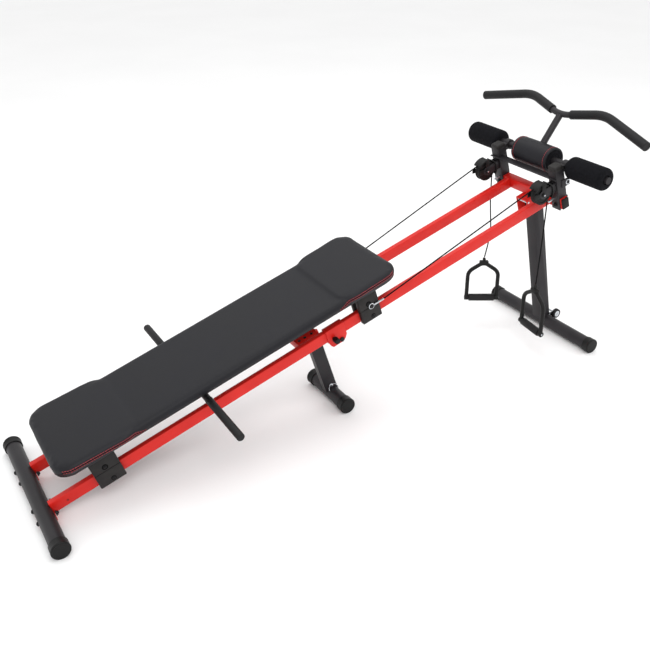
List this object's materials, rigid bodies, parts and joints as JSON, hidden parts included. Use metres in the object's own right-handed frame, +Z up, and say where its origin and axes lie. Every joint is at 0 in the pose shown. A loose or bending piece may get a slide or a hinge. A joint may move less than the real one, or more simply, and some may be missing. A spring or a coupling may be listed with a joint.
{
  "type": "weight bench",
  "caption": "Folding incline exercise bench: padded sliding carriage on two rails, cable pulleys with hand grips, lat bar, foam leg rollers, folding legs and transport wheels.",
  "frame": {"origin": "middle of the footprint of the whole bench, on the floor", "axes": "+X from the low end to the head end, +Y to the left side, +Z up"},
  "size_m": [2.14, 0.8174, 0.9271],
  "materials": {
    "red_paint": "glossy powder coat, orange red",
    "charcoal_paint": "satin powder coat, dark charcoal",
    "zinc_steel": "bright zinc plating",
    "black_steel": "black oxide fasteners",
    "vinyl": "fine-grained black upholstery vinyl with red stitching",
    "foam": "matt closed-cell foam skin",
    "rubber": "matt black rubber",
    "board": "black stained plywood",
    "cable": "black nylon coated steel cable",
    "black_plastic": "fine textured moulded plastic"
  },
  "bodies": {
    "lower_frame": {"low_bar": "charcoal_paint", "low_bar_cap_left": "black_plastic", "low_bar_cap_right": "black_plastic", "lower_rail_left": "red_paint", "lower_rail_right": "red_paint", "mid_cross_tube": "red_paint", "hinge_bracket_left": "red_paint", "hinge_bracket_right": "red_paint", "fold_bolt_left": "black_steel", "fold_bolt_right": "black_steel", "mid_leg_pivot_bolt": "black_steel"},
    "mid_leg": {"mid_leg": "charcoal_paint", "mid_bar": "charcoal_paint", "mid_bar_cap_left": "black_plastic", "mid_bar_cap_right": "black_plastic"},
    "hitch_pin": {"hitch_pin": "zinc_steel"},
    "upper_frame": {"upper_rail_left": "red_paint", "upper_rail_right": "red_paint", "head_cross_tube": "red_paint", "front_leg_pivot_bolt": "zinc_steel", "post_left": "charcoal_paint", "post_right": "charcoal_paint", "roller_tube": "charcoal_paint", "head_shelf": "charcoal_paint", "head_bolster": "vinyl", "lat_bar": "charcoal_paint", "lat_grip_left": "rubber", "lat_grip_right": "rubber", "pulley_bracket_left": "charcoal_paint", "pulley_bracket_right": "charcoal_paint", "cable_run_left": "cable", "cable_run_right": "cable", "cable_drop_left": "cable", "cable_drop_right": "cable"},
    "front_leg": {"front_leg": "charcoal_paint", "front_bar": "charcoal_paint", "front_bar_cap_left": "black_plastic", "front_bar_cap_right": "black_plastic", "wheel_bracket": "zinc_steel"},
    "carriage": {"carriage_board": "board", "seat_pad": "vinyl", "carriage_grip_bar": "rubber", "roller_block_low_left": "black_plastic", "roller_block_low_right": "black_plastic", "roller_block_high_left": "black_plastic", "roller_block_high_right": "black_plastic"},
    "carriage_wheel_low_left": {"carriage_wheel_low_left": "black_plastic"},
    "carriage_wheel_high_left": {"carriage_wheel_high_left": "black_plastic"},
    "pulley_left": {"pulley_left": "black_plastic"},
    "foam_roller_left": {"foam_roller_left": "foam"},
    "transport_wheel_left": {"transport_wheel_left": "rubber"},
    "handle_left": {"handle_frame_left": "black_plastic"},
    "handle_grip_left": {"handle_grip_left": "rubber"},
    "carriage_wheel_low_right": {"carriage_wheel_low_right": "black_plastic"},
    "carriage_wheel_high_right": {"carriage_wheel_high_right": "black_plastic"},
    "pulley_right": {"pulley_right": "black_plastic"},
    "foam_roller_right": {"foam_roller_right": "foam"},
    "transport_wheel_right": {"transport_wheel_right": "rubber"},
    "handle_right": {"handle_frame_right": "black_plastic"},
    "handle_grip_right": {"handle_grip_right": "rubber"}
  },
  "joints": [
    {"name": "frame_fold", "type": "hinge", "parent": "lower_frame", "child": "upper_frame", "pos_m": [-0.03079, 0, 0.30532], "axis": [0, 1, 0], "range_deg": [0, 90]},
    {"name": "mid_leg_fold", "type": "hinge", "parent": "lower_frame", "child": "mid_leg", "pos_m": [-0.08173, 0, 0.28038], "axis": [0, 1, 0], "range_deg": [0, 80]},
    {"name": "hitch_pin_pull", "type": "slide", "parent": "mid_leg", "child": "hitch_pin", "axis": [0, -1, 0], "range_m": [0, 0.05]},
    {"name": "front_leg_fold", "type": "hinge", "parent": "upper_frame", "child": "front_leg", "pos_m": [0.89578, 0, 0.56493], "axis": [0, 1, 0], "range_deg": [0, 85]},
    {"name": "carriage_slide", "type": "slide", "parent": "upper_frame", "child": "carriage", "axis": [0.9565, 0, 0.2917], "range_m": [0, 0.5], "deforming": ["cable_run_left", "cable_run_right"]},
    {"name": "wheel_low_left_roll", "type": "hinge", "parent": "carriage", "child": "carriage_wheel_low_left", "pos_m": [-0.8526, 0.10375, 0.13413], "axis": [0, 1, 0], "continuous": true},
    {"name": "wheel_high_left_roll", "type": "hinge", "parent": "carriage", "child": "carriage_wheel_high_left", "pos_m": [0.06373, 0.10375, 0.41361], "axis": [0, 1, 0], "continuous": true},
    {"name": "pulley_left_spin", "type": "hinge", "parent": "upper_frame", "child": "pulley_left", "pos_m": [0.7729, 0.15, 0.66274], "axis": [0, 1, 0], "continuous": true},
    {"name": "foam_roller_left_spin", "type": "hinge", "parent": "upper_frame", "child": "foam_roller_left", "pos_m": [0.88403, 0.2685, 0.74744], "axis": [0, 1, 0], "continuous": true},
    {"name": "transport_wheel_left_roll", "type": "hinge", "parent": "front_leg", "child": "transport_wheel_left", "pos_m": [1.0505, 0.04, 0.055], "axis": [0, 1, 0], "continuous": true},
    {"name": "handle_left_swing", "type": "hinge", "parent": "upper_frame", "child": "handle_left", "pos_m": [0.8045, 0.146, 0.287], "axis": [0, 1, 0], "range_deg": [-60, 60]},
    {"name": "handle_grip_left_turn", "type": "hinge", "parent": "handle_left", "child": "handle_grip_left", "pos_m": [0.8045, 0.146, 0.115], "axis": [0.848, -0.5299, 0], "continuous": true},
    {"name": "wheel_low_right_roll", "type": "hinge", "parent": "carriage", "child": "carriage_wheel_low_right", "pos_m": [-0.8526, -0.10375, 0.13413], "axis": [0, 1, 0], "continuous": true},
    {"name": "wheel_high_right_roll", "type": "hinge", "parent": "carriage", "child": "carriage_wheel_high_right", "pos_m": [0.06373, -0.10375, 0.41361], "axis": [0, 1, 0], "continuous": true},
    {"name": "pulley_right_spin", "type": "hinge", "parent": "upper_frame", "child": "pulley_right", "pos_m": [0.7729, -0.15, 0.66274], "axis": [0, 1, 0], "continuous": true},
    {"name": "foam_roller_right_spin", "type": "hinge", "parent": "upper_frame", "child": "foam_roller_right", "pos_m": [0.88403, -0.2545, 0.74744], "axis": [0, 1, 0], "continuous": true},
    {"name": "transport_wheel_right_roll", "type": "hinge", "parent": "front_leg", "child": "transport_wheel_right", "pos_m": [1.0505, -0.04, 0.055], "axis": [0, 1, 0], "continuous": true},
    {"name": "handle_right_swing", "type": "hinge", "parent": "upper_frame", "child": "handle_right", "pos_m": [0.8045, -0.146, 0.287], "axis": [0, 1, 0], "range_deg": [-60, 60]},
    {"name": "handle_grip_right_turn", "type": "hinge", "parent": "handle_right", "child": "handle_grip_right", "pos_m": [0.8045, -0.146, 0.115], "axis": [0.1305, 0.9914, 0], "continuous": true}
  ],
  "couplings": [
    {"joint": "wheel_low_left_roll", "follows": "carriage_slide", "rad_per_m": 48.309},
    {"joint": "wheel_high_left_roll", "follows": "carriage_slide", "rad_per_m": 48.309},
    {"joint": "pulley_left_spin", "follows": "carriage_slide", "rad_per_m": 27.397},
    {"joint": "wheel_low_right_roll", "follows": "carriage_slide", "rad_per_m": 48.309},
    {"joint": "wheel_high_right_roll", "follows": "carriage_slide", "rad_per_m": 48.309},
    {"joint": "pulley_right_spin", "follows": "carriage_slide", "rad_per_m": 27.397}
  ]
}
